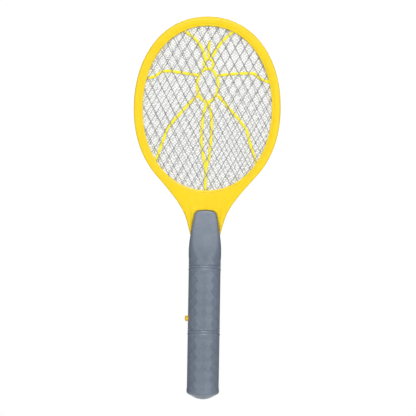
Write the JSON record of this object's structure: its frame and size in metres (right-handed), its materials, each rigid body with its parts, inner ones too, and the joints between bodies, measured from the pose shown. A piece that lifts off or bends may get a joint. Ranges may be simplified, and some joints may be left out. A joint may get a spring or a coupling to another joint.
{
  "type": "electric fly swatter",
  "caption": "Racket-shaped electric fly swatter with an oval head of layered wire mesh and a round handle with push button and sliding battery door.",
  "frame": {"origin": "lowest point of the handle's domed end, on the handle's axis", "axes": "+Z from the handle's end to the top of the head, -Y out of the front face, +X to the right seen from the front"},
  "size_m": [0.1918, 0.0426, 0.4999],
  "materials": {
    "frame_plastic": "satin",
    "spacer_plastic": "satin",
    "handle_plastic": "satin",
    "button_plastic": "gloss",
    "mesh_wire": "satin",
    "black_plastic": "satin",
    "board_laminate": "satin",
    "ferrite": "matt",
    "winding_tape": "satin",
    "capacitor_coating": "gloss",
    "resistor_coating": "satin",
    "cell_sleeve": "gloss",
    "contact_metal": "polished",
    "red_insulation": "satin",
    "black_insulation": "satin",
    "white_insulation": "satin",
    "screw_steel": "zinc plated"
  },
  "bodies": {
    "root": {"frame_front": "frame_plastic", "frame_rear": "frame_plastic", "front_mesh": "mesh_wire", "centre_mesh": "mesh_wire", "rear_mesh": "mesh_wire", "front_spacer": "spacer_plastic", "rear_spacer": "spacer_plastic", "handle_front": "handle_plastic", "handle_rear": "handle_plastic", "switch_body": "black_plastic", "circuit_board": "board_laminate", "transformer_core": "ferrite", "transformer_winding": "winding_tape", "storage_capacitor": "capacitor_coating", "multiplier_capacitor_1": "capacitor_coating", "multiplier_capacitor_2": "capacitor_coating", "diode_1": "black_plastic", "diode_2": "black_plastic", "diode_3": "black_plastic", "resistor_1": "resistor_coating", "resistor_2": "resistor_coating", "resistor_3": "resistor_coating", "transistor": "black_plastic", "battery_left": "cell_sleeve", "battery_right": "cell_sleeve", "contact_positive": "contact_metal", "contact_negative": "contact_metal", "contact_bridge": "contact_metal", "contact_spring_left": "contact_metal", "contact_spring_right": "contact_metal", "battery_lead_positive": "red_insulation", "battery_lead_negative": "black_insulation", "front_mesh_lead": "red_insulation", "centre_mesh_lead": "white_insulation", "rear_mesh_lead": "black_insulation", "handle_screws": "screw_steel", "frame_screws": "screw_steel"},
    "button": {"power_button": "button_plastic", "switch_plunger": "black_plastic"},
    "door": {"battery_door": "handle_plastic"}
  },
  "joints": [
    {"name": "power_button_press", "type": "slide", "parent": "root", "child": "button", "axis": [1, 0, 0], "range_m": [0, 0.002], "stiffness_N_per_m": 800},
    {"name": "battery_door_slide", "type": "slide", "parent": "root", "child": "door", "axis": [0, 0, -1], "range_m": [0, 0.088]}
  ]
}
